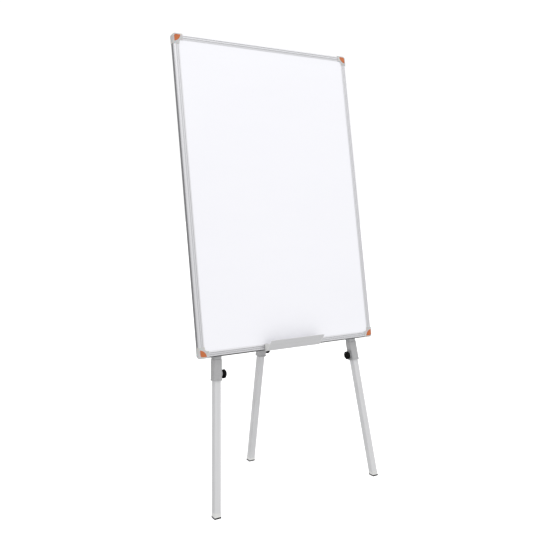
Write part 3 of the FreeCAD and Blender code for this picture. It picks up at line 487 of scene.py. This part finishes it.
def turned_mesh(name, profile, centre, axis):
    """A closed mesh of the profile turned round the axis, with its rim scalloped, and smooth all over."""
    side = axis.cross(Vector((0, 0, 1))).normalized()
    up = side.cross(axis)
    verts = []
    for distance, reach, scallop in profile[1:-1]:
        for step in range(KNOB_STEPS):
            turn = 2 * math.pi * step / KNOB_STEPS
            hollow = KNOB_SCALLOP * scallop * (1 - math.cos(KNOB_LOBES * turn)) / 2
            outwards = side * math.cos(turn) + up * math.sin(turn)
            verts.append(centre + axis * distance + outwards * (reach - hollow))
    rings = len(profile) - 2
    faces = []
    for ring in range(rings - 1):
        for step in range(KNOB_STEPS):
            here = ring * KNOB_STEPS + step
            beside = ring * KNOB_STEPS + (step + 1) % KNOB_STEPS
            faces.append((here, beside, beside + KNOB_STEPS, here + KNOB_STEPS))
    for ring, pole, order in ((0, profile[0], -1), (rings - 1, profile[-1], 1)):
        middle = len(verts)
        verts.append(centre + axis * pole[0])
        for step in range(KNOB_STEPS):
            pair = (ring * KNOB_STEPS + step, ring * KNOB_STEPS + (step + 1) % KNOB_STEPS)
            faces.append((*pair[::order], middle))
    mesh = bpy.data.meshes.new(name)
    mesh.from_pydata(verts, [], faces)
    mesh.polygons.foreach_set("use_smooth", [True] * len(faces))
    mesh.update()
    return mesh


def clamp_knob(leg, paint):
    """A lobed hand knob with a rounded rim and a sunk centre, in the place of the plain CAD knob."""
    turn = joint(leg + "_knob_turn")
    axis = Vector(turn["axis"]).normalized()
    centre = Vector(turn["pos_m"])
    offsets = [vertex.co - centre for vertex in frame["nodes"]["knob_" + leg].data.vertices]
    along = [offset.dot(axis) for offset in offsets]
    away = [(offset - axis * offset.dot(axis)).length for offset in offsets]
    radius = max(away)
    head = min(distance for distance, reach in zip(along, away) if reach > KNOB_HEAD_SHARE * radius)
    profile = knob_profile(min(along), head, max(along), radius)
    name = "hand_knob_" + leg
    knob = bpy.data.objects.new(name, turned_mesh(name, profile, centre, axis))
    bpy.context.scene.collection.objects.link(knob)
    knob.data.materials.append(paint)
    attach(knob, leg + "_knob")
    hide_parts("knob_" + leg)


# ---------------------------------------------------------------- studio


def floor():
    """A wide pale floor that glows a little. Neither reflections nor bounced light see it."""
    made, tree, shader, place = material(
        "studio_floor", Roughness=0.9, Specular_IOR_Level=0.1, Emission_Color=(1.0, 1.0, 1.0, 1.0),
        Emission_Strength=FLOOR_GLOW,
    )
    cloud = noise(tree, place, 1.5, 3.0)
    connect(tree, shader, colour=mix(tree, cloud, (0.90, 0.90, 0.90), (0.91, 0.91, 0.91)))
    turns = [2 * math.pi * side / FLOOR_SIDES for side in range(FLOOR_SIDES)]
    rim = [(FLOOR_RADIUS * math.cos(turn), FLOOR_RADIUS * math.sin(turn), 0.0) for turn in turns]
    mesh = bpy.data.meshes.new("studio_floor")
    mesh.from_pydata(rim, [], [tuple(range(FLOOR_SIDES))])
    mesh.materials.append(made)
    made_floor = bpy.data.objects.new("studio_floor", mesh)
    bpy.context.scene.collection.objects.link(made_floor)
    made_floor.visible_glossy = False
    made_floor.visible_diffuse = False


def world():
    """White walls. Matt surfaces see them even, mirrored ones with a black card and a dark floor in them."""
    made = bpy.data.worlds.new("studio")
    bpy.context.scene.world = made
    made.use_nodes = True
    tree = made.node_tree
    direction = tree.nodes.new("ShaderNodeTexCoord").outputs["Generated"]
    parts = add(tree, "ShaderNodeSeparateXYZ", Vector=direction).outputs
    even = times(
        tree,
        spread(tree, parts["Y"], 1.0, 0.94, 0.20, 0.80),  # a little darker behind the easel
        spread(tree, parts["Z"], 1.12, 1.0, -0.80, -0.10),  # and brighter from below
    )
    mirrored = times(
        tree,
        spread(tree, dot_product(tree, direction, BLACK_CARD), 1.0, 0.30, 0.76, 0.93),  # black card
        spread(tree, parts["Y"], 1.0, 0.85, 0.20, 0.80),  # darker behind the easel
        spread(tree, parts["Z"], 0.03, 1.0, -0.74, -0.42),  # dark floor
        spread(tree, parts["Z"], 0.95, 1.32, 0.10, 0.90),  # bright ceiling
        spread(tree, parts["X"], 0.86, 1.0, -0.95, -0.50),  # darker wall on the left
        spread(tree, parts["X"], 1.0, 1.30, 0.60, 1.0),  # brighter wall on the right
    )
    ray = tree.nodes.new("ShaderNodeLightPath").outputs
    walls = add(tree, "ShaderNodeMix", Factor=ray["Is Glossy Ray"], A=even, B=mirrored).outputs["Result"]
    backdrop = times(tree, ray["Is Camera Ray"], BACKDROP_STRENGTH)
    shown = math_node(tree, "MAXIMUM", times(tree, walls, WALL_STRENGTH), backdrop)
    background = tree.nodes["Background"]
    background.inputs["Color"].default_value = (1.0, 1.0, 1.0, 1.0)
    tree.links.new(shown, background.inputs["Strength"])


def softbox(name, place, aim, side, power):
    """A square lamp of that side (metres) and power (watts), turned to its aim."""
    light = bpy.data.lights.new(name, "AREA")
    light.shape = "RECTANGLE"
    light.size = side
    light.size_y = side
    light.energy = power
    made = bpy.data.objects.new(name, light)
    bpy.context.scene.collection.objects.link(made)
    made.location = place
    made.rotation_mode = "QUATERNION"
    made.rotation_quaternion = (Vector(aim) - Vector(place)).to_track_quat("-Z", "Y")


def camera():
    """The camera at its place, turned by its yaw, pitch and roll."""
    yaw, pitch, roll = (math.radians(turn) for turn in (CAMERA_YAW, CAMERA_PITCH, CAMERA_ROLL))
    ahead = Vector((math.sin(yaw) * math.cos(pitch), math.cos(yaw) * math.cos(pitch), -math.sin(pitch)))
    level = Vector((math.cos(yaw), -math.sin(yaw), 0.0))
    below = ahead.cross(level)
    right = level * math.cos(roll) + below * math.sin(roll)
    down = below * math.cos(roll) - level * math.sin(roll)
    data = bpy.data.cameras.new("camera")
    data.sensor_width = SENSOR_WIDTH
    data.lens = CAMERA_LENS
    data.shift_y = CAMERA_SHIFT_Y
    made = bpy.data.objects.new("camera", data)
    bpy.context.scene.collection.objects.link(made)
    turned = Matrix((right, -down, -ahead)).transposed().to_4x4()
    made.matrix_world = Matrix.Translation(CAMERA_PLACE) @ turned
    bpy.context.scene.camera = made


# ---------------------------------------------------------------- scene

camera()
finishes = slot_materials()
dress_nodes(finishes)
for leg_name in LEGS:
    clamp_knob(leg_name, finishes["black_plastic"])
floor()
world()
softbox("key", place=(-0.4, -1.7, 3.2), aim=(0.0, 0.0, 0.7), side=1.8, power=5.0)
softbox("top", place=(0.2, 0.3, 3.4), aim=(0.0, 0.0, 0.0), side=2.6, power=6.0)
bpy.context.scene.view_settings.view_transform = "Standard"
